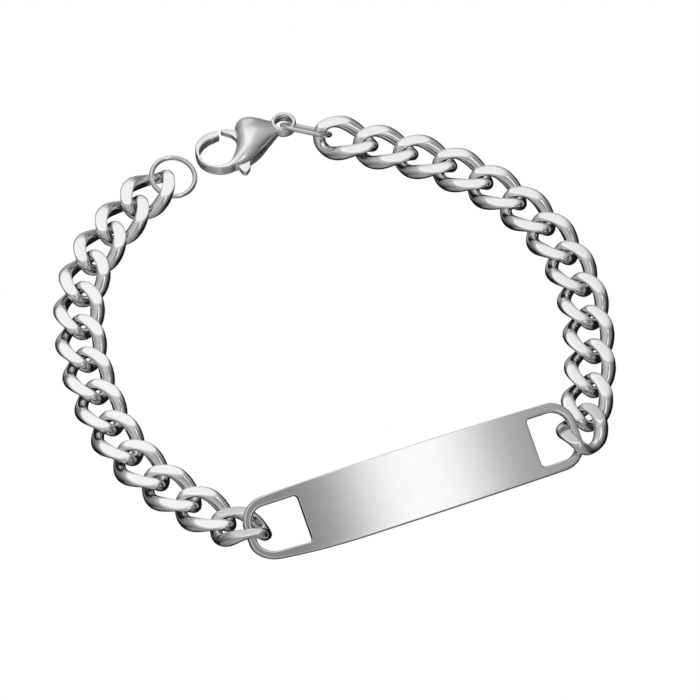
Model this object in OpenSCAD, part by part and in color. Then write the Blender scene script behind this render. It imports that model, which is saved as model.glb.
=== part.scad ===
// ID bracelet: a curved name plate, two stretches of curb chain, an end ring and a lobster clasp.
// The bracelet lies open on a table at z = 0. The camera side is -Y. Millimetres.

/* [Show] */
// Which node to draw

/* [Chain] */
// Distance between the centres of neighbouring links
link_pitch = 5.3; // [5.2:0.05:5.4]
// Half of a link's length between the middles of its wire
link_reach = 3.56; // [3.4:0.02:3.6]
// Half of a link's width between the middles of its wire
link_half_width = 2.5; // [2.4:0.05:2.7]
// How far each end of a link is twisted, in degrees
link_twist = 48; // [40:1:54]
// Radius of the link's wire
wire_radius = 0.76; // [0.6:0.02:0.78]
// Thickness of the chain once its faces are ground flat
chain_thickness = 2.1; // [1.8:0.1:2.4]

/* [Plate] */
// Length of the plate
plate_length = 44; // [40:0.5:46]
// Width of the plate in the middle
plate_width = 8.96; // [8.5:0.1:9.2]
// Thickness of the plate
plate_thickness = 1.0; // [0.9:0.1:1.2]
// Radius of the plate's lengthwise curve
plate_bend_radius = 269; // [200:1:400]
// How far the plate leans on its front edge, in degrees
plate_lean = 29; // [27:1:31]
// How much the plate's front half narrows at its left end, as a share of its width
front_taper = 0.23; // [0:0.01:0.25]
// Mean length of the windows
window_length = 5.8; // [5:0.05:6]
// How much longer than the mean the left window is, and how much shorter the right one is
window_shift = 0.7; // [0:0.05:0.8]
// Width of the bar outside each window
end_bar = 1.0; // [0.9:0.05:1.2]

/* [Rings] */
// Radius of the end ring to the middle of its wire
end_ring_radius = 2.78; // [2.6:0.02:2.9]
// Half of the oval clasp ring's length, to the middle of its wire
clasp_ring_reach = 3.11; // [3.05:0.01:3.15]
// Half of the oval clasp ring's width, to the middle of its wire
clasp_ring_half_width = 1.85; // [1.8:0.05:1.95]
// Radius of both rings' wire
ring_wire = 0.3; // [0.2:0.02:0.34]

/* [Clasp] */
// Thickness of the clasp at the bulb
bulb_thickness = 3.2; // [2.8:0.1:3.4]
// Thickness of the lever
lever_thickness = 0.8; // [0.6:0.05:0.9]
// How far the lever is pressed, in degrees
lever_angle = 0; // [0:1:25]
// Radius of the lever's pin
pin_radius = 0.4; // [0.3:0.05:0.5]

/* [Hidden] */
steel = "Silver";
round_fn = 64;
sheet_fn = 360;

// The chain's run: where each side starts, its first heading, and the turn from link to link.
left_start = [-11.26, -30.914];
left_heading = 150;
left_turns = [-6, -4, -9, -13, -7, -6, -7, -8, -13, -14, -8, -3];
right_start = [30.72, -16.004];
right_heading = 82;
right_turns = [0, 6, 5, 7, 10, 10, 11, 11, 7, 10, 5, -1];
// The links next to the plate are tipped by it: each has its place and its turn about x, y and z.
left_first_place = [-11.42, -31.074, 2.035];
left_first_turn = [10.86, 18.21, 149.65];
left_second_place = [-15.68, -28.034, 1.175];
left_second_turn = [2.31, 2.12, 143.91];
right_first_place = [30.73, -15.784, 1.983];
right_first_turn = [-6.78, 13.12, 87.97];
link_stations = 16;
wire_sides = 6;

function heading(start, turns, n) = n <= 1 ? start : heading(start, turns, n - 1) + turns[n - 2];
function mean_heading(start, turns, n) = (heading(start, turns, n) + heading(start, turns, n - 1)) / 2;
function step_on(a) = link_pitch * [cos(a), sin(a)];
function place(from, start, turns, n) =
  n <= 1 ? from : place(from, start, turns, n - 1) + step_on(mean_heading(start, turns, n));

// The wire's middle line: an oval whose two ends are twisted opposite ways.
function link_line(t) =
  let (x = link_reach * cos(t), w = link_half_width * sin(t), a = link_twist * cos(t))
  [x, w * cos(a), -w * sin(a)];
function unit(v) = v / norm(v);
function link_ahead(t) = unit(link_line(t + 1) - link_line(t - 1));
function link_side(t) =
  let (out = [cos(t) / link_reach, sin(t) / link_half_width, 0], along = link_ahead(t))
  unit(out - (out * along) * along);
function ground(p) = [p[0], p[1], max(-chain_thickness / 2, min(chain_thickness / 2, p[2]))];
function wire_point(t, s) =
  let (side = link_side(t), up = cross(link_ahead(t), side))
  ground(link_line(t) + wire_radius * (cos(s) * side + sin(s) * up));
link_points = [
  for (i = [0:link_stations - 1], j = [0:wire_sides - 1])
    wire_point(i * 360 / link_stations, 30 + j * 360 / wire_sides)
];
function at(i, j) = (i % link_stations) * wire_sides + j % wire_sides;
link_faces = [
  for (i = [0:link_stations - 1], j = [0:wire_sides - 1], k = [0:1])
    k == 0 ? [at(i, j), at(i + 1, j), at(i + 1, j + 1)] : [at(i, j), at(i + 1, j + 1), at(i, j + 1)]
];

// One curb link about its own middle, its length along x.
module curb_link() {
  polyhedron(points = link_points, faces = link_faces, convexity = 4);
}

module left_link(n) {
  p = place(left_start, left_heading, left_turns, n);
  color(steel)
    translate([p[0], p[1], chain_thickness / 2])
      rotate(heading(left_heading, left_turns, n)) curb_link();
}

module right_link(n) {
  p = place(right_start, right_heading, right_turns, n);
  color(steel)
    translate([p[0], p[1], chain_thickness / 2])
      rotate(heading(right_heading, right_turns, n)) curb_link();
}

module left_link_01() {
  color(steel) translate(left_first_place) rotate(left_first_turn) curb_link();
}

module left_link_02() {
  color(steel) translate(left_second_place) rotate(left_second_turn) curb_link();
}

module right_link_01() {
  color(steel) translate(right_first_place) rotate(right_first_turn) curb_link();
}

module left_link_03() { left_link(3); }
module left_link_04() { left_link(4); }
module left_link_05() { left_link(5); }
module left_link_06() { left_link(6); }
module left_link_07() { left_link(7); }
module left_link_08() { left_link(8); }
module left_link_09() { left_link(9); }
module left_link_10() { left_link(10); }
module left_link_11() { left_link(11); }
module left_link_12() { left_link(12); }
module left_link_13() { left_link(13); }
module right_link_02() { right_link(2); }
module right_link_03() { right_link(3); }
module right_link_04() { right_link(4); }
module right_link_05() { right_link(5); }
module right_link_06() { right_link(6); }
module right_link_07() { right_link(7); }
module right_link_08() { right_link(8); }
module right_link_09() { right_link(9); }
module right_link_10() { right_link(10); }
module right_link_11() { right_link(11); }
module right_link_12() { right_link(12); }
module right_link_13() { right_link(13); }

// The plate: its outline with bowed sides, less two windows, cut from a bent sheet.
plate_place = [10.12, -25.154, 3.67];
plate_heading = 22.2;
corner_radius = 3.2;
side_bow = 0.16;
corner_x = plate_length / 2 - corner_radius;
corner_y = plate_width / 2 - side_bow - corner_radius;
corner_step = 7.5;
taper_from = 8;
// One quarter of the outline, from the middle of the long side to the end's corner.
quarter = concat(
  [for (i = [0:7]) let (f = i / 8) [f * corner_x, plate_width / 2 - side_bow * f * f]],
  [for (a = [90:-corner_step:0]) [corner_x + corner_radius * cos(a), corner_y + corner_radius * sin(a)]]
);
last = len(quarter) - 1;
half = concat(quarter, [for (i = [last:-1:1]) [quarter[i][0], -quarter[i][1]]]);
strip = 1.2;
window_out = plate_length / 2 - end_bar;
window_in = window_out - window_length;
window_half = plate_width / 2 - side_bow - strip;
window_out_corner = 2.1;
window_in_corner = 0.5;

// The plate's front half narrows towards its left end.
function narrowed(p) =
  let (share = max(0, -p[0] - taper_from) / (plate_length / 2 - taper_from))
  [p[0], p[1] < 0 ? p[1] * (1 - front_taper * share * share) : p[1]];
function back_corner(x, y, r, from, to) =
  [for (a = [from:-corner_step:to]) [x + r * cos(a), y + r * sin(a)]];
function window_back(inner) = concat(
  back_corner(inner + window_in_corner, window_half - window_in_corner, window_in_corner, 180, 90),
  [[inner + window_length / 2, window_half]],
  back_corner(window_out - window_out_corner, window_half - window_out_corner, window_out_corner, 90, 0)
);
function window_loop(inner) =
  let (back = window_back(inner), end = len(back) - 1)
  concat(back, [for (i = [end:-1:0]) [back[i][0], -back[i][1]]]);

module plate_outline() {
  polygon([for (p = concat(half, -half)) narrowed(p)]);
}

module window_outlines() {
  polygon(window_loop(window_in + window_shift));
  polygon([for (p = window_loop(window_in - window_shift)) narrowed([-p[0], p[1]])]);
}

module id_plate() {
  color(steel)
    translate(plate_place) rotate([0, 0, plate_heading]) rotate([plate_lean, 0, 0])
      intersection() {
        translate([0, 0, -4])
          linear_extrude(5) difference() {
            plate_outline();
            window_outlines();
          }
        translate([0, 0, -plate_bend_radius]) rotate([90, 0, 0]) difference() {
          cylinder(r = plate_bend_radius, h = plate_width + 2, center = true, $fn = sheet_fn);
          cylinder(r = plate_bend_radius - plate_thickness, h = plate_width + 4, center = true, $fn = sheet_fn);
        }
      }
}

// The end ring is a circle of round wire, and the clasp ring is a long oval of the same wire.
end_ring_place = [-20.45, 25.446, 0.9];
end_ring_turn = [10.29, 6.92, 0.02];
clasp_ring_place = [-3.57, 32.586, 1.65];
clasp_ring_turn = [-43.45, 3.14, -12.53];

module end_ring() {
  color(steel) translate(end_ring_place) rotate(end_ring_turn)
    rotate_extrude($fn = round_fn)
      translate([end_ring_radius, 0]) circle(r = ring_wire, $fn = round_fn);
}

module oval_wire(straight, r) {
  for (s = [0, 180]) rotate(s) {
    translate([straight, 0, 0]) rotate(-90)
      rotate_extrude(angle = 180, $fn = round_fn)
        translate([r, 0]) circle(r = ring_wire, $fn = round_fn);
    translate([0, r, 0]) rotate([0, 90, 0])
      cylinder(r = ring_wire, h = 2 * straight, center = true, $fn = round_fn);
  }
}

module clasp_ring() {
  color(steel) translate(clasp_ring_place) rotate(clasp_ring_turn)
    oval_wire(clasp_ring_reach - clasp_ring_half_width, clasp_ring_half_width);
}

// The clasp: x runs from the hook to the eye, z = 0 is its middle plane.
clasp_place = [-14.9, 28.816, bulb_thickness / 2];
clasp_heading = 31;
half_bulb = bulb_thickness / 2;
hook_out = [0.4, -0.1, 3.2];
hook_in = [-0.15, -0.3, 2.25];
hook_half = 0.72;
eye_place = [9.64, -0.32, 0];
eye_hole = 1.1;
eye_out = 1.62;
eye_half = 0.55;
eye_edge = 0.2;
pivot = [5.1, 0, 0];
slot_half = lever_thickness / 2 + 0.1;
pin_half = half_bulb - 0.45;
lever_hole = pin_radius + 0.05;
body_hole = pin_radius + 0.02;
lens_radius = 8;
taper_radius = 15;
taper_start = 3.6;
bulb_plan = [
  [3.2, 0.6], [3.62, 1.7], [3.95, 2.3], [4.4, 2.75], [4.9, 3.0], [5.5, 3.05], [6.1, 2.9],
  [6.7, 2.5], [7.3, 1.95], [7.9, 1.4], [8.5, 1.08], [9.2, 1.0],
  [9.2, -1.55], [8.4, -1.5], [7.7, -1.62], [7.1, -1.85], [6.4, -2.2], [5.6, -2.62], [4.8, -3.0],
  [3.9, -3.32], [3.2, -3.5], [2.5, -3.58], [1.8, -3.52], [1.2, -3.35], [0.7, -3.28],
  [0.7, -2.3], [1.32, -1.76], [2.0, -1.1], [2.7, -0.3]
];
mouth_plan = [
  [-0.15, 1.95], [1.39, 1.87], [1.98, 2.87], [2.3, 4], [6, 4], [6, -1.0], [1.6, -1.5],
  [1.0, -2.2], [0.4, -2.45], [-0.15, -2.4]
];
slot_plan = [
  [0.85, -6], [0.85, -0.5], [2.2, 1.0], [2.45, 2.35], [4.6, 2.35], [6.3, 1.2], [6.6, 0],
  [5.9, -1.5], [5.6, -6]
];
gate_plan = [
  [2.2, 2.76], [1.78, 2.24], [2.95, 1.2], [3.1, -0.3], [4.0, -1.25], [5.1, -1.1], [5.9, 0],
  [5.2, 1.1], [3.9, 1.6]
];
nub_plan = [
  [4.4, -1.2], [2.3, -1.7], [1.35, -2.5], [1.08, -3.5], [1.1, -4.6], [1.5, -5.0], [2.35, -4.5],
  [3.0, -3.2], [5.1, -1.0]
];

module hook_outline() {
  difference() {
    translate([hook_out[0], hook_out[1]]) circle(r = hook_out[2], $fn = round_fn);
    translate([hook_in[0], hook_in[1]]) circle(r = hook_in[2], $fn = round_fn);
    polygon(mouth_plan);
    translate([1.3, -1.9]) square([4, 6]);
  }
}

module clasp_hook() {
  intersection() {
    translate([0, 0, -half_bulb]) linear_extrude(bulb_thickness) hook_outline();
    rotate([90, 0, 0]) linear_extrude(8, center = true)
      polygon([[-4, -hook_half], [0, -hook_half - 0.1], [2.6, -1.4], [4, -1.4],
               [4, 1.4], [2.6, 1.4], [0, hook_half + 0.1], [-4, hook_half]]);
  }
}

// The bulb is the plan cut by a lens across it and a long taper towards the eye.
module clasp_bulb() {
  intersection() {
    translate([0, 0, -half_bulb]) linear_extrude(bulb_thickness) polygon(bulb_plan);
    for_lens(lens_radius);
    for_taper();
  }
}

module for_lens(r) {
  translate([5, -0.2, 0]) rotate([0, 90, 0]) intersection() {
    translate([r - half_bulb, 0, 0]) cylinder(r = r, h = 14, center = true, $fn = round_fn);
    translate([half_bulb - r, 0, 0]) cylinder(r = r, h = 14, center = true, $fn = round_fn);
  }
}

module for_taper() {
  translate([taper_start, 0, 0]) rotate([90, 0, 0]) intersection() {
    translate([0, taper_radius - half_bulb, 0])
      cylinder(r = taper_radius, h = 10, center = true, $fn = round_fn);
    translate([0, half_bulb - taper_radius, 0])
      cylinder(r = taper_radius, h = 10, center = true, $fn = round_fn);
  }
}

module clasp_eye() {
  translate(eye_place) rotate_extrude($fn = round_fn)
    polygon([[0, -eye_half], [eye_out - eye_edge, -eye_half], [eye_out, eye_edge - eye_half],
             [eye_out, eye_half - eye_edge], [eye_out - eye_edge, eye_half], [0, eye_half]]);
}

module clasp_eye_hole() {
  wide = eye_hole + eye_edge;
  translate(eye_place) rotate_extrude($fn = round_fn)
    polygon([[0, -2], [wide + 1, -2], [wide, -eye_half], [eye_hole, eye_edge - eye_half],
             [eye_hole, eye_half - eye_edge], [wide, eye_half], [wide + 1, 2], [0, 2]]);
}

module clasp_body() {
  color(steel)
    translate(clasp_place) rotate(clasp_heading) difference() {
      union() {
        clasp_hook();
        clasp_bulb();
        clasp_eye();
      }
      clasp_eye_hole();
      translate([0, 0, -slot_half]) linear_extrude(2 * slot_half) polygon(slot_plan);
      translate(pivot)
        cylinder(r = body_hole, h = 2 * pin_half + 0.1, center = true, $fn = round_fn);
    }
}

module clasp_lever() {
  color(steel)
    translate(clasp_place) rotate(clasp_heading)
      translate(pivot) rotate(lever_angle) translate(-pivot) difference() {
        translate([0, 0, -lever_thickness / 2]) linear_extrude(lever_thickness) {
          polygon(gate_plan);
          polygon(nub_plan);
        }
        translate(pivot) cylinder(r = lever_hole, h = 4, center = true, $fn = round_fn);
      }
}

module clasp_pin() {
  color(steel)
    translate(clasp_place) rotate(clasp_heading) translate(pivot)
      cylinder(r = pin_radius, h = 2 * pin_half, center = true, $fn = round_fn);
}

id_plate();
left_link_01();
left_link_02();
left_link_03();
left_link_04();
left_link_05();
left_link_06();
left_link_07();
left_link_08();
left_link_09();
left_link_10();
left_link_11();
left_link_12();
left_link_13();
right_link_01();
right_link_02();
right_link_03();
right_link_04();
right_link_05();
right_link_06();
right_link_07();
right_link_08();
right_link_09();
right_link_10();
right_link_11();
right_link_12();
right_link_13();
end_ring();
clasp_ring();
clasp_body();
clasp_lever();
clasp_pin();
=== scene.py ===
import bpy
import bmesh
import math
import numpy as np
from mathutils import Matrix, Vector


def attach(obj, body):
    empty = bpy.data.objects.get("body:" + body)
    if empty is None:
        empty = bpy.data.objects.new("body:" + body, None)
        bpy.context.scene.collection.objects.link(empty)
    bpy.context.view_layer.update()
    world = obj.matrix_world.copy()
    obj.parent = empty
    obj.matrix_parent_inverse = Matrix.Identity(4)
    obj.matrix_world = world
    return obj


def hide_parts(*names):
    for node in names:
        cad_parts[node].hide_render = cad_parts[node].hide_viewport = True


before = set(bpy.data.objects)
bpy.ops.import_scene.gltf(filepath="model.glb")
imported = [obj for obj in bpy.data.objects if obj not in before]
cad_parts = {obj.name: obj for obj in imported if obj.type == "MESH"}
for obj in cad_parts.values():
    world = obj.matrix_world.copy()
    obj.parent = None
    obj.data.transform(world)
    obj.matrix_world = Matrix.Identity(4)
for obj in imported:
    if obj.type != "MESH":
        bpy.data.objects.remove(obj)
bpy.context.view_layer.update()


# Name plate: a strip of stainless steel bent to the wrist, with a slot punched near each end.
# Satin finish on the face, softened edges. It leans on its front edge, held up by its two links.
MM = 0.001


def turned(rx, ry, rz):
    """Rotation matrix that turns about x, then y, then z, angles in degrees."""
    a, b, c = np.radians([rx, ry, rz])
    x = np.array([[1, 0, 0], [0, np.cos(a), -np.sin(a)], [0, np.sin(a), np.cos(a)]])
    y = np.array([[np.cos(b), 0, np.sin(b)], [0, 1, 0], [-np.sin(b), 0, np.cos(b)]])
    z = np.array([[np.cos(c), -np.sin(c), 0], [np.sin(c), np.cos(c), 0], [0, 0, 1]])
    return z @ y @ x


def laid(points, turn, place):
    """Points of a piece about its own middle, turned and then moved to their place."""
    return points @ turned(*turn).T + np.array(place)


def surface(name, patches):
    """One mesh in millimetres from grid patches of points. A patch is (points, closed_u, closed_v),
    and each of its cells becomes a four-sided face. Points that meet are welded into one."""
    weld, speck = 1e-4, 1e-5
    verts, faces, start = [], [], 0
    for grid, closed_u, closed_v in patches:
        nu, nv = grid.shape[:2]
        rows, columns = np.arange(nu - (not closed_u)), np.arange(nv - (not closed_v))
        i, j = (index.ravel() for index in np.meshgrid(rows, columns, indexing="ij"))
        a, b = (i + 1) % nu, (j + 1) % nv
        faces.append(start + np.stack([i * nv + j, a * nv + j, a * nv + b, i * nv + b], 1))
        verts.append(grid.reshape(-1, 3))
        start += nu * nv
    mesh = bpy.data.meshes.new(name)
    mesh.from_pydata(np.concatenate(verts).tolist(), [], np.concatenate(faces).tolist())
    work = bmesh.new()
    work.from_mesh(mesh)
    bmesh.ops.remove_doubles(work, verts=work.verts, dist=weld)
    bmesh.ops.dissolve_degenerate(work, edges=work.edges, dist=speck)
    bmesh.ops.recalc_face_normals(work, faces=work.faces)
    work.to_mesh(mesh)
    work.free()
    return mesh


def put(name, mesh, material, node, body="bracelet"):
    """One object from a mesh in millimetres, smooth but for its sharp edges, on its body."""
    sharp_from = math.radians(50)
    mesh.transform(Matrix.Diagonal((MM, MM, MM, 1)))
    mesh.shade_smooth()
    mesh.set_sharp_from_angle(angle=sharp_from)
    mesh.materials.append(material)
    piece = bpy.data.objects.new(name, mesh)
    bpy.context.scene.collection.objects.link(piece)
    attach(piece, body)
    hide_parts(node)


def steel(name, colour, rough, wear, grain, metal=1):
    """Bare steel of one colour. Its roughness drifts by wear to either side, over a noise with that
    many grains to a metre. Metal under 1 stands for a tumbled skin that scatters some light."""
    material = bpy.data.materials.new(name)
    material.use_nodes = True
    nodes, links = material.node_tree.nodes, material.node_tree.links
    shader = nodes["Principled BSDF"]
    shader.inputs["Base Color"].default_value = (*colour, 1)
    shader.inputs["Metallic"].default_value = metal
    where = nodes.new("ShaderNodeTexCoord")
    noise = nodes.new("ShaderNodeTexNoise")
    noise.inputs["Scale"].default_value = grain
    noise.inputs["Detail"].default_value = 3
    spread = nodes.new("ShaderNodeMapRange")
    spread.inputs["To Min"].default_value = rough - wear
    spread.inputs["To Max"].default_value = rough + wear
    links.new(where.outputs["Object"], noise.inputs["Vector"])
    links.new(noise.outputs["Fac"], spread.inputs["Value"])
    links.new(spread.outputs["Result"], shader.inputs["Roughness"])
    return material


def plate_surface():
    """Patches of the plate. Each end is a frame between the slot's loop and the outline's loop, and
    the middle is a plain strip. Edges are quarter rounds, whose radius grows towards the ends, where
    the links wear them. The front half narrows at the left by a square law, and the sheet is bent
    by z = -x*x / (2 R)."""
    half_long, half_wide, bow, corner = 22.0, 4.48, 0.16, 3.2
    thick, bend, narrow_from, narrowing = 1.0, 269.0, 8, 0.23
    edge, tip_edge, round_from, round_to = 0.16, 0.3, 15.5, 20
    slot_in, slot_shift, slot_out, slot_half = 15.2, 0.7, 21.0, 3.12
    slot_corner_out, slot_corner_in, seam = 2.1, 0.5, 13.8
    turn, place = (29, 0, 22.2), (10.12, -25.154, 3.67)
    turn_steps, rise_steps, tip_steps, side_steps = 19, 9, 9, 12
    slot_turn_steps, slot_side_steps, frame_steps, seam_steps, strip_steps = 6, 7, 6, 14, 57
    cx, cy = half_long - corner, half_wide - bow - corner
    quarter = np.radians(np.linspace(90, 0, turn_steps))
    quarter_round = np.stack([np.cos(quarter), np.sin(quarter)], 1)
    rise = np.radians(np.linspace(0, 90, rise_steps))
    to_front = np.array([1, -1])
    to_left = np.array([-1, 1, 1])

    def side(x, inset):
        """Half width of the plate at x, less an inset. It draws in to the ends by a square law."""
        return half_wide - bow * (x / cx) ** 2 - inset

    def cross(x, start, end, steps):
        """Points across the plate at one x, between two places and without them."""
        y = np.linspace(start, end, steps)[1:-1]
        return np.stack([np.full_like(y, x), y], 1)

    def outer(inset):
        """Outline of the right end from the seam on the back side round to the seam in front."""
        x = np.linspace(seam, cx, side_steps)[:-1]
        back = np.stack([x, side(x, inset)], 1)
        bend_round = (corner - inset) * quarter_round + (cx, cy)
        tip = cross(half_long - inset, cy, -cy, tip_steps)
        back_rows = [back, bend_round]
        front_rows = [row[::-1] * to_front for row in back_rows[::-1]]
        return np.concatenate(back_rows + [tip] + front_rows)

    def slot(outset, inner):
        """Slot of the right end but for its straight inner edge, point for point with the outline."""
        ro, ri = slot_corner_out + outset, slot_corner_in + outset
        ox, oy = slot_out - slot_corner_out, slot_half - slot_corner_out
        ix, iy = inner + slot_corner_in, slot_half - slot_corner_in
        small = np.radians(np.linspace(180, 90, slot_turn_steps))
        first = np.stack([ix + ri * np.cos(small), iy + ri * np.sin(small)], 1)
        x = np.linspace(ix, ox, slot_side_steps)[1:-1]
        back = np.stack([x, np.full_like(x, slot_half + outset)], 1)
        bend_round = ro * quarter_round + (ox, oy)
        tip = cross(slot_out + outset, oy, -oy, tip_steps)
        back_rows = [first, back, bend_round]
        front_rows = [row[::-1] * to_front for row in back_rows[::-1]]
        return np.concatenate(back_rows + [tip] + front_rows)

    def lift(plan, z):
        """Adds a height to plan points."""
        return np.concatenate([plan, np.broadcast_to(z, plan.shape[:-1])[..., None]], -1)

    def radius(plan):
        """Radius of the rounded edge: even in the middle, then rising to the ends by a smooth step."""
        share = np.clip((np.abs(plan[:, 0]) - round_from) / (round_to - round_from), 0, 1)
        return edge + (tip_edge - edge) * share**2 * (3 - 2 * share)

    def drawn_in(loop, share):
        """A loop that takes an inset, drawn in by that share of each point's edge radius."""
        return loop(0) + share * radius(loop(0))[:, None] * (loop(1) - loop(0))

    def wall(loop):
        """Rounded edge, upright wall and rounded lower edge along a loop that takes an inset."""
        inset = 1 - np.sin(rise)
        drop = (radius(loop(0))[:, None] * (np.cos(rise) - 1)).T
        rows = [lift(drawn_in(loop, a), b) for a, b in zip(inset, drop)]
        rows += [lift(drawn_in(loop, a), -thick - b) for a, b in zip(inset[::-1], drop[::-1])]
        return np.stack(rows, 1)

    def end(inner):
        """Patches of the right end, from the seam with the middle to the plate's tip."""

        def slot_wall(outset):
            """The whole loop of the slot."""
            loop = slot(outset, inner)
            straight = cross(inner - outset, loop[-1, 1], loop[0, 1], seam_steps)
            return np.concatenate([loop, straight])

        outer_loop = drawn_in(outer, 1)
        straight = cross(seam, outer_loop[-1, 1], outer_loop[0, 1], seam_steps)
        rim = np.concatenate([outer_loop, straight])
        share = np.linspace(0, 1, frame_steps)[:, None]
        face = drawn_in(slot_wall, 1)[:, None] * (1 - share) + rim[:, None] * share
        return [
            (lift(face, 0), True, False),
            (lift(face, -thick), True, False),
            (wall(outer), False, False),
            (wall(slot_wall), True, False),
        ]

    def strip(inset, sign):
        """Back or front edge of the middle strip."""
        return np.stack([strip_x, sign * side(strip_x, inset)], 1)

    strip_x = np.linspace(-seam, seam, strip_steps)
    strip_y = np.linspace(-1, 1, seam_steps) * side(strip_x, edge)[:, None]
    middle = np.stack(np.broadcast_arrays(strip_x[:, None], strip_y), -1)
    left = [(g * to_left, a, b) for g, a, b in end(slot_in - slot_shift)]
    right = end(slot_in + slot_shift)
    body = [
        (lift(middle, 0), False, False),
        (lift(middle, -thick), False, False),
        (wall(lambda inset: strip(inset, 1)), False, False),
        (wall(lambda inset: strip(inset, -1)), False, False),
    ]
    placed = []
    for grid, closed_u, closed_v in right + left + body:
        share = np.maximum(0, -grid[..., 0] - narrow_from) / (half_long - narrow_from)
        bent = grid.copy()
        bent[..., 1] *= np.where(grid[..., 1] < 0, 1 - narrowing * share**2, 1)
        bent[..., 2] -= grid[..., 0] ** 2 / (2 * bend)
        placed.append((laid(bent, turn, place), closed_u, closed_v))
    return placed


satin = steel("plate satin steel", (0.86, 0.86, 0.87), 0.15, 0.02, 900)
put("id-plate", surface("id-plate", plate_surface()), satin, "id_plate")


# Curb chain: twenty-six twisted oval links of round wire, each ground flat above and below.
# Polished stainless steel. Each link passes through its neighbours, and the end ones hold the plate.
def link_surface():
    """One link about its own middle. The wire's middle line is x = a cos t, w = b sin t, turned about
    x by an angle in proportion to cos t. The wire is round, and pressing has swelled it inwards by the
    sixth power of sin t, most in the middle of each side. Its heights are eased off at the ground
    faces."""
    reach, half_wide, twist = 3.56, 2.5, math.radians(48)
    wire_radius, swell, half_thick, ease = 0.76, 0.16, 1.05, 0.13
    least_window, margin, tiny = 0.08, 1.1, 1e-4
    stations, side_steps = 128, 8
    t = np.linspace(0, 2 * np.pi, stations + 1)[:-1]

    def swelling(t):
        """Growth of the wire's radius at t."""
        return swell * np.sin(t) ** 6

    def line(t):
        """Middle line of the wire."""
        w, a = (half_wide - swelling(t)) * np.sin(t), twist * np.cos(t)
        return np.stack([reach * np.cos(t), w * np.cos(a), -w * np.sin(a)], -1)

    middle, wire = line(t), wire_radius + swelling(t)
    ahead = line(t + tiny) - line(t - tiny)
    ahead /= np.linalg.norm(ahead, axis=1)[:, None]
    out = np.stack([np.cos(t) / reach, np.sin(t) / half_wide, 0 * t], -1)
    out -= (out * ahead).sum(1)[:, None] * ahead
    out /= np.linalg.norm(out, axis=1)[:, None]
    up = np.cross(ahead, out)
    lean = np.hypot(out[:, 2], up[:, 2])
    top = np.arctan2(up[:, 2], out[:, 2])

    def window(height):
        """Half-angle of the wire that a ground face takes off, at least a few degrees."""
        return np.maximum(np.arccos(np.clip(height / (wire * lean), -1, 1)), least_window)

    above, below = window(half_thick - middle[:, 2]), window(half_thick + middle[:, 2])
    spots = np.array([-margin, -1, -0.9, -0.8, -0.6, -0.3, 0, 0.3, 0.6, 0.8, 0.9, 1])
    upper = top[:, None] + above[:, None] * spots
    lower = top[:, None] + np.pi + below[:, None] * spots
    a, b = top + margin * above, top + np.pi - margin * below
    c, d = top + np.pi + margin * below, top + 2 * np.pi - margin * above
    share = np.linspace(0, 1, side_steps + 1)[:-1]
    one_side = a[:, None] + (b - a)[:, None] * share
    other_side = c[:, None] + (d - c)[:, None] * share
    angle = np.concatenate([upper, one_side, lower, other_side], 1)[..., None]
    section = np.cos(angle) * out[:, None] + np.sin(angle) * up[:, None]
    points = middle[:, None] + wire[:, None, None] * section
    z = points[..., 2]
    z = half_thick - ease * np.logaddexp(0, (half_thick - z) / ease)
    z = ease * np.logaddexp(0, (half_thick + z) / ease) - half_thick
    points[..., 2] = z
    return points


def run(start, heading, turns, pitch=5.3):
    """Places and headings of links in a row. Each centre is one pitch on from the last, along the
    mean of the two links' headings."""
    headings = heading + np.concatenate([[0], np.cumsum(turns)])
    mean = np.radians((headings[1:] + headings[:-1]) / 2)
    steps = pitch * np.stack([np.cos(mean), np.sin(mean)], 1)
    return np.concatenate([[start], start + np.cumsum(steps, 0)]), headings


polished = steel("chain polished steel", (0.88, 0.88, 0.89), 0.11, 0.02, 1500)
one_link = link_surface()
lying_height = 1.05
chains = {
    "left": run(
        np.array([-11.26, -30.914]), 150, [-6, -4, -9, -13, -7, -6, -7, -8, -13, -14, -8, -3]
    ),
    "right": run(
        np.array([30.72, -16.004]), 82, [0, 6, 5, 7, 10, 10, 11, 11, 7, 10, 5, -1]
    ),
}
link_rests = {
    f"{side}_link_{number:02d}": ((*place, lying_height), (0, 0, heading))
    for side, chain in chains.items()
    for number, (place, heading) in enumerate(zip(*chain), 1)
}
# The links that hold the plate are tipped by it, and so is the second one on the left.
link_rests["left_link_01"] = ((-11.42, -31.074, 2.035), (10.86, 18.21, 149.65))
link_rests["left_link_02"] = ((-15.68, -28.034, 1.175), (2.31, 2.12, 143.91))
link_rests["right_link_01"] = ((30.73, -15.784, 1.983), (-6.78, 13.12, 87.97))
for node, (place, turn) in link_rests.items():
    name = node.replace("_", "-")
    link_mesh = surface(name, [(laid(one_link, turn, place), True, True)])
    put(name, link_mesh, polished, node)


# End ring: the plain ring that the clasp hooks into, round steel wire bent into a circle.
# Polished. It passes through the last link of the left chain and rests on the table.
ring_wire, wire_sides = 0.3, 24


def circle_ring(radius, wire):
    """Round wire round a circle. Both radii are given."""
    stations = 160
    t = np.linspace(0, 2 * np.pi, stations + 1)[:-1, None]
    s = np.linspace(0, 2 * np.pi, wire_sides + 1)[:-1]
    far = radius + wire * np.cos(s)
    return np.stack(np.broadcast_arrays(far * np.cos(t), far * np.sin(t), wire * np.sin(s)), -1)


ring = steel("ring polished steel", (0.84, 0.84, 0.85), 0.1, 0.02, 1500)
end_ring_radius = 2.78
end_ring_turn, end_ring_place = (10.29, 6.92, 0.02), (-20.45, 25.446, 0.9)
end_ring_wire = laid(circle_ring(end_ring_radius, ring_wire), end_ring_turn, end_ring_place)
end_ring_mesh = surface("end-ring", [(end_ring_wire, True, True)])
put("end-ring", end_ring_mesh, ring, "end_ring")


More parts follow.
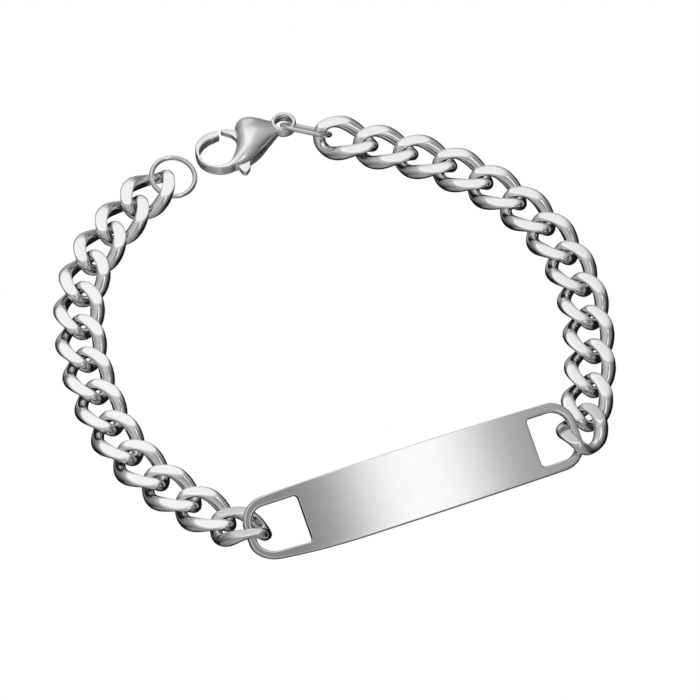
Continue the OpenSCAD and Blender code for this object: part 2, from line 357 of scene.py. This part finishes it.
# Clasp ring: a long oval ring of the same wire, tipped halfway onto its edge.
# Polished. It joins the clasp's eye to the last link of the right chain.
def oval_ring(reach, half_wide, wire):
    """Round wire of that radius along two straights joined by half circles."""
    turn_steps, straight_steps = 49, 12
    straight = reach - half_wide
    t = np.radians(np.linspace(-90, 90, turn_steps))
    half_circle = np.stack([np.cos(t), np.sin(t)], 1)
    end = half_wide * half_circle + (straight, 0)
    x = np.linspace(straight, -straight, straight_steps)[1:-1]
    side = np.stack([x, np.full_like(x, half_wide)], 1)
    side_out = np.tile([0.0, 1], (len(x), 1))
    path = np.concatenate([end, side, -end, -side])
    out = np.concatenate([half_circle, side_out, -half_circle, -side_out])
    s = np.linspace(0, 2 * np.pi, wire_sides + 1)[:-1, None]
    plan = path[:, None] + wire * np.cos(s) * out[:, None]
    return np.concatenate([plan, np.broadcast_to(wire * np.sin(s), plan.shape[:2] + (1,))], -1)


clasp_ring_reach, clasp_ring_half_wide = 3.11, 1.85
clasp_ring_turn, clasp_ring_place = (-43.45, 3.14, -12.53), (-3.57, 32.586, 1.65)
clasp_ring_oval = oval_ring(clasp_ring_reach, clasp_ring_half_wide, ring_wire)
clasp_ring_wire = laid(clasp_ring_oval, clasp_ring_turn, clasp_ring_place)
clasp_ring_mesh = surface("clasp-ring", [(clasp_ring_wire, True, True)])
put("clasp-ring", clasp_ring_mesh, ring, "clasp_ring")


# Clasp body: the hook, the pillow-shaped bulb, its neck and the eye, one steel casting.
# Polished all over. The hook's tip is cut square, and a slot sawn into the bulb takes the lever.
def smooth(rows, steps):
    """Catmull-Rom curve through the rows, with that many steps between neighbours."""
    rows = np.array(rows, float)
    rows = np.concatenate([2 * rows[:1] - rows[1:2], rows, 2 * rows[-1:] - rows[-2:-1]])
    a, b, c, d = (rows[k:len(rows) - 3 + k, None] for k in range(4))
    t = np.linspace(0, 1, steps + 1)[:-1, None]
    curve = b + t * (c - a) / 2
    curve += t**2 * (2 * a - 5 * b + 4 * c - d) / 2
    curve += t**3 * (3 * b - a - 3 * c + d) / 2
    return np.concatenate([curve.reshape(-1, rows.shape[1]), rows[-2:-1]])


def rounded(share, squareness):
    """Superellipse: cosine and sine of a turn, each raised to a power that draws them out towards
    a square as it falls."""
    turn = 2 * np.pi * share
    c, s = np.cos(turn), np.sin(turn)
    return np.sign(c) * np.abs(c) ** squareness, np.sign(s) * np.abs(s) ** squareness


def casting(rows):
    """Loft of rounded sections. A row holds an inner point, an outer point, half the height there and
    the section's power. The lower half has a smaller power, so it is squarer. Both ends are closed
    flat."""
    lower_share, row_steps, sides = 0.6, 5, 72
    run_rows = smooth(rows, row_steps)
    inner, outer, half = run_rows[:, None, 0:2], run_rows[:, None, 2:4], run_rows[:, 4:5]
    around = np.linspace(0, 1, sides + 1)[None, :-1]
    power = run_rows[:, 5:6] * np.where(around > 0.5, lower_share, 1)
    across, rise = rounded(around, power)
    plan = (inner + outer) / 2 + (outer - inner) / 2 * across[..., None]
    points = np.concatenate([plan, (half * rise)[..., None]], -1)
    middle = points.mean(1, keepdims=True)
    cap = np.array([0, 0.6, 0.9])[:, None, None]
    first = middle[:1] + (points[:1] - middle[:1]) * cap
    last = middle[-1:] + (points[-1:] - middle[-1:]) * cap[::-1]
    return np.concatenate([first, points, last])


def eye_surface(x, y, radius, half_wide, half_high, squareness):
    """Ring of rounded section about an upright axis."""
    stations, sides = 96, 32
    turn = np.linspace(0, 2 * np.pi, stations + 1)[:-1, None]
    across, rise = rounded(np.linspace(0, 1, sides + 1)[None, :-1], squareness)
    far = radius + half_wide * across
    rings = x + far * np.cos(turn), y + far * np.sin(turn), half_high * rise
    return np.stack(np.broadcast_arrays(*rings), -1)


def prism(name, corners, half):
    """Upright prism over a polygon."""
    n = len(corners)
    low = np.column_stack([corners, np.full(n, -half)])
    verts = np.concatenate([low, low * (1, 1, -1)])
    k = np.arange(n)
    sides = np.stack([k, (k + 1) % n, (k + 1) % n + n, k + n], 1)
    faces = sides.tolist() + [k[::-1].tolist(), (k + n).tolist()]
    mesh = bpy.data.meshes.new(name)
    mesh.from_pydata(verts.tolist(), [], faces)
    work = bmesh.new()
    work.from_mesh(mesh)
    bmesh.ops.recalc_face_normals(work, faces=work.faces)
    work.to_mesh(mesh)
    work.free()
    return mesh


def cut(mesh, tool):
    """The mesh less the tool, as a finished mesh."""
    pair = [bpy.data.objects.new(m.name, m) for m in (mesh, tool)]
    for thing in pair:
        bpy.context.scene.collection.objects.link(thing)
    saw = pair[0].modifiers.new("saw", "BOOLEAN")
    saw.operation, saw.solver, saw.object = "DIFFERENCE", "EXACT", pair[1]
    bpy.context.view_layer.update()
    sawn = pair[0].evaluated_get(bpy.context.evaluated_depsgraph_get())
    done = bpy.data.meshes.new_from_object(sawn)
    for thing in pair:
        bpy.data.objects.remove(thing)
    return done


clasp_steel = steel("clasp polished steel", (0.93, 0.93, 0.94), 0.18, 0.02, 1500, 0.88)
clasp_centre, clasp_heading = (-14.9, 28.816, 1.6), math.radians(31)
clasp_place = Matrix.Translation(clasp_centre) @ Matrix.Rotation(clasp_heading, 4, "Z")
# Sections from the hook's tip round to the eye: inner x and y, outer x and y, half height, power.
body_rows = [
    (1.45, 1.92, 1.72, 2.85, 0.58, 0.4),
    (0.6, 1.9, 0.8, 3.05, 0.6, 0.4),
    (-0.15, 1.92, -0.1, 3.06, 0.64, 0.4),
    (-1.2, 1.6, -1.35, 2.58, 0.72, 0.4),
    (-2.05, 0.9, -2.3, 1.62, 0.72, 0.4),
    (-2.4, -0.3, -2.8, -0.2, 0.72, 0.4),
    (-2.1, -1.45, -2.4, -1.63, 0.72, 0.4),
    (-1.3, -2.22, -1.3, -2.8, 0.74, 0.4),
    (-0.3, -2.5, -0.1, -3.25, 0.78, 0.42),
    (0.45, -2.4, 0.85, -3.32, 0.85, 0.6),
    (1.05, -2.02, 1.75, -3.48, 0.98, 0.75),
    (1.7, -1.4, 2.6, -3.55, 1.16, 0.88),
    (2.35, -0.7, 3.35, -3.46, 1.32, 0.95),
    (2.95, 0.2, 4.1, -3.25, 1.48, 0.95),
    (3.4, 1.15, 4.75, -3.02, 1.56, 0.92),
    (3.8, 2.05, 5.3, -2.75, 1.59, 0.9),
    (4.3, 2.65, 5.8, -2.5, 1.57, 0.88),
    (4.95, 3.0, 6.25, -2.27, 1.51, 0.86),
    (5.7, 3.0, 6.65, -2.07, 1.4, 0.84),
    (6.4, 2.65, 7.0, -1.9, 1.25, 0.75),
    (7.05, 2.13, 7.4, -1.73, 1.08, 0.75),
    (7.6, 1.6, 7.8, -1.58, 0.9, 0.75),
    (8.1, 1.15, 8.2, -1.4, 0.72, 0.75),
    (8.45, 0.85, 8.48, -1.25, 0.6, 0.75),
]
saw_half = 0.5
saw_corners = [
    (0.85, -6), (0.85, -0.5), (2.2, 1), (2.45, 2.35), (4.6, 2.35),
    (6.3, 1.2), (6.6, 0), (5.9, -1.5), (5.6, -6),
]
eye = eye_surface(x=9.64, y=-0.32, radius=1.33, half_wide=0.3, half_high=0.72, squareness=0.65)
whole_casting = surface("casting", [(casting(body_rows), False, True)])
work = bmesh.new()
work.from_mesh(cut(whole_casting, prism("slot", saw_corners, saw_half)))
work.from_mesh(surface("eye", [(eye, True, True)]))
body_mesh = bpy.data.meshes.new("clasp-body")
work.to_mesh(body_mesh)
work.free()
body_mesh.transform(clasp_place)
put("clasp-body", body_mesh, clasp_steel, "clasp_body")


# Clasp lever: a flat steel stamping that turns on the pin, with the gate at one end and the thumb's
# nub at the other. Its rims are rounded by tumbling, and its spring is hidden in the bulb.
def slab(corners, centre, half, rim):
    """Flat piece over a polygon whose corners are cut a few times over, with a quarter-round rim. The
    top and bottom are rings of the outline drawn in to a centre."""
    cuts, cut_share, rim_steps = 3, 0.2, 5
    loop = np.array(corners, float)
    for _ in range(cuts):
        ahead = np.roll(loop, -1, 0)
        near, far = loop + cut_share * (ahead - loop), ahead + cut_share * (loop - ahead)
        loop = np.stack([near, far], 1).reshape(-1, 2)
    ahead, behind = np.roll(loop, -1, 0), np.roll(loop, 1, 0)
    tangent = ahead - behind
    out = np.stack([tangent[:, 1], -tangent[:, 0]], 1)
    out /= np.linalg.norm(tangent, axis=1)[:, None]
    out *= np.sign((loop[:, 0] * ahead[:, 1] - loop[:, 1] * ahead[:, 0]).sum())
    turn = np.radians(np.linspace(0, 90, rim_steps))
    rows = [(loop - out * rim - centre) * share + centre for share in (0, 0.5)]
    rows += [loop - out * rim * (1 - np.sin(a)) for a in turn]
    high = np.concatenate([[half, half], half - rim * (1 - np.cos(turn))])
    plan = np.stack(rows + rows[::-1])
    z = np.concatenate([high, -high[::-1]])[:, None, None]
    return np.concatenate([plan, np.broadcast_to(z, plan.shape[:2] + (1,))], -1)


lever_half, gate_rim, nub_rim = 0.4, 0.08, 0.12
gate_centre, nub_centre = np.array([4.0, 0.4]), np.array([2.2, -2.9])
gate = [
    (2.3, 2.9), (1.98, 2.55), (3.05, 1.3), (3.1, -0.3), (4, -1.25),
    (5.1, -1.1), (5.9, 0), (5.2, 1.1), (4, 1.7),
]
nub = [
    (4.4, -1.2), (2.3, -1.7), (1.35, -2.5), (1.08, -3.5), (1.1, -4.6),
    (1.5, -5), (2.35, -4.5), (3, -3.2), (5.1, -1),
]
lever = surface("clasp-lever", [
    (slab(gate, gate_centre, lever_half, gate_rim), False, True),
    (slab(nub, nub_centre, lever_half, nub_rim), False, True),
])
lever.transform(clasp_place)
put("clasp-lever", lever, clasp_steel, "clasp_lever", "lever")


# Lever's pin: a plain steel pin pressed across the bulb, which the lever turns on.
# It is hidden, so it is drawn plainly.
pin_x, pin_radius, pin_half, pin_sides = 5.1, 0.4, 1.15, 32
pin_turn = np.linspace(0, 2 * np.pi, pin_sides + 1)[:-1]
pin_far = np.array([[0], [pin_radius], [pin_radius], [0]])
pin_high = np.array([[-pin_half], [-pin_half], [pin_half], [pin_half]])
pin_rings = pin_x + pin_far * np.cos(pin_turn), pin_far * np.sin(pin_turn), pin_high
pin_mesh = surface("clasp-pin", [(np.stack(np.broadcast_arrays(*pin_rings), -1), False, True)])
pin_mesh.transform(clasp_place)
put("clasp-pin", pin_mesh, clasp_steel, "clasp_pin")


# Table, room and camera: a plain white table, in a studio whose soft boxes are glows on a dome.
# The camera sees only the white table. The steel mirrors the dome, and not the table.
def glow_material(name):
    """An emission material, with its node tree and the socket of its strength."""
    material = bpy.data.materials.new(name)
    material.use_nodes = True
    tree = material.node_tree
    tree.nodes.clear()
    glow = tree.nodes.new("ShaderNodeEmission")
    end = tree.nodes.new("ShaderNodeOutputMaterial")
    tree.links.new(glow.outputs["Emission"], end.inputs["Surface"])
    return material, tree, glow.inputs["Strength"]


def math_node(tree, kind, a, b=None, c=None):
    """One arithmetic node on sockets or numbers."""
    node = tree.nodes.new("ShaderNodeMath")
    node.operation = kind
    for socket, value in zip(node.inputs, (a, b, c)):
        if value is None:
            continue
        if isinstance(value, (int, float)):
            socket.default_value = value
        else:
            tree.links.new(value, socket)
    return node.outputs[0]


def along(tree, way, direction):
    """How far the way goes in that direction, from -1 to 1."""
    node = tree.nodes.new("ShaderNodeVectorMath")
    node.operation = "DOT_PRODUCT"
    tree.links.new(way, node.inputs[0])
    node.inputs[1].default_value = Vector(direction).normalized()
    return node.outputs["Value"]


def fade(tree, value, low, high):
    """Smooth step from 0 at low to 1 at high."""
    node = tree.nodes.new("ShaderNodeMapRange")
    node.interpolation_type = "SMOOTHSTEP"
    tree.links.new(value, node.inputs["Value"])
    node.inputs["From Min"].default_value = low
    node.inputs["From Max"].default_value = high
    return node.outputs["Result"]


def soft_box(tree, way, toward, upright, wide, tall, soft):
    """A soft-edged rectangle of light round a direction: full inside its half angles, wide and tall,
    and gone soft degrees outside them. Nothing of it shows on the dome's far side."""
    front_fade = 0.2
    front = Vector(toward).normalized()
    up = Vector(upright)
    up = (up - front * up.dot(front)).normalized()
    side = front.cross(up)
    parts = []
    for axis, half in ((side, wide), (up, tall)):
        far = math_node(tree, "ABSOLUTE", along(tree, way, axis))
        gone, full = math.sin(math.radians(half + soft)), math.sin(math.radians(half))
        parts.append(fade(tree, far, gone, full))
    parts.append(fade(tree, along(tree, way, front), 0, front_fade))
    return math_node(tree, "MULTIPLY", math_node(tree, "MULTIPLY", parts[0], parts[1]), parts[2])


def soft_glow(tree, way, toward, inner, outer):
    """A round glow about a direction: full within inner degrees and gone at outer degrees."""
    gone, full = math.cos(math.radians(outer)), math.cos(math.radians(inner))
    return fade(tree, along(tree, way, toward), gone, full)


table_half = 3.0
table_mesh = bpy.data.meshes.new("white-table")
table_corners = [(x * table_half, y * table_half, 0) for x, y in ((-1, -1), (1, -1), (1, 1), (-1, 1))]
table_mesh.from_pydata(table_corners, [], [(0, 1, 2, 3)])
table_mesh.materials.append(glow_material("white table")[0])
table = bpy.data.objects.new("white-table", table_mesh)
bpy.context.scene.collection.objects.link(table)
table.visible_glossy = False

dome_material, tree, level = glow_material("studio dome")
place = tree.nodes.new("ShaderNodeTexCoord")
unit = tree.nodes.new("ShaderNodeVectorMath")
unit.operation = "NORMALIZE"
tree.links.new(place.outputs["Object"], unit.inputs[0])
way = unit.outputs["Vector"]
# Boxes: direction, upright direction, half width and half height, softness in degrees, strength.
boxes = (
    ((-0.12, 0.6, 0.78), (0, -0.78, 0.616), 11, 8, 14, 0.45),
    ((0.375, -0.3, 0.88), (-0.378, 0.926, 0.25), 2, 20, 6.5, 0.9),
)
# Glows: direction, degrees within which it is full, degrees at which it is gone, strength.
# A strength below zero is a dark card, and a direction below the table stands for the table's light.
glows = (
    ((-0.35, 0.25, 0.9), 10, 60, 0.3),
    ((0.08, -0.37, 0.92), 6, 18, -0.18),
    ((0.66, -0.16, 0.73), 4, 18, 0.09),
    ((-0.2, -0.8, 0.5), 10, 55, 0.16),
    ((-0.45, -0.62, -0.62), 10, 42, 0.3),
    ((0.3, -0.7, -0.62), 10, 48, 0.26),
    ((0.9, 0.3, -0.2), 15, 75, -0.2),
    ((-0.25, 0.9, -0.3), 8, 30, 0.25),
    ((-0.16, 0.93, 0.32), 4, 20, 0.4),
    ((0.55, 0.6, 0.5), 5, 34, 0.2),
    ((0, -0.1, -1), 20, 88, -0.26),
    ((0, 0, -1), 72, 112, -0.14),
)
room_light, least_light = 0.29, 0.01
total = room_light
for toward, upright, wide, tall, soft, strength in boxes:
    box = soft_box(tree, way, toward, upright, wide, tall, soft)
    total = math_node(tree, "MULTIPLY_ADD", box, strength, total)
for toward, inner, outer, strength in glows:
    glow = soft_glow(tree, way, toward, inner, outer)
    total = math_node(tree, "MULTIPLY_ADD", glow, strength, total)
tree.links.new(math_node(tree, "MAXIMUM", total, least_light), level)

dome_radius, dome_around, dome_up = 0.35, 48, 24
u = np.linspace(0, 2 * np.pi, dome_around + 1)[:-1, None]
v = np.linspace(-0.5, 0.5, dome_up + 1) * np.pi
directions = np.cos(u) * np.cos(v), np.sin(u) * np.cos(v), np.sin(v)
dome_points = dome_radius * np.stack(np.broadcast_arrays(*directions), -1)
i, j = np.meshgrid(np.arange(dome_around), np.arange(dome_up), indexing="ij")
here = (i * (dome_up + 1) + j).ravel()
beside = ((i + 1) % dome_around * (dome_up + 1) + j).ravel()
dome_cells = np.stack([here, here + 1, beside + 1, beside], 1)
dome_mesh = bpy.data.meshes.new("studio-dome")
dome_mesh.from_pydata(dome_points.reshape(-1, 3).tolist(), [], dome_cells.tolist())
dome_mesh.materials.append(dome_material)
dome = bpy.data.objects.new("studio-dome", dome_mesh)
bpy.context.scene.collection.objects.link(dome)
dome.visible_camera = False

aim = np.array([0.00204, -0.001794, 0.0])
distance, height = 0.9, math.radians(52)
lens = bpy.data.cameras.new("camera")
lens.sensor_width, lens.lens = 36, 370.3
lens.clip_start, lens.clip_end = 0.05, 20
camera = bpy.data.objects.new("camera", lens)
bpy.context.scene.collection.objects.link(camera)
camera.location = aim + distance * np.array([0, -math.cos(height), math.sin(height)])
camera.rotation_euler = (math.pi / 2 - height, 0, 0)
bpy.context.scene.camera = camera
bpy.context.scene.view_settings.view_transform = "Standard"
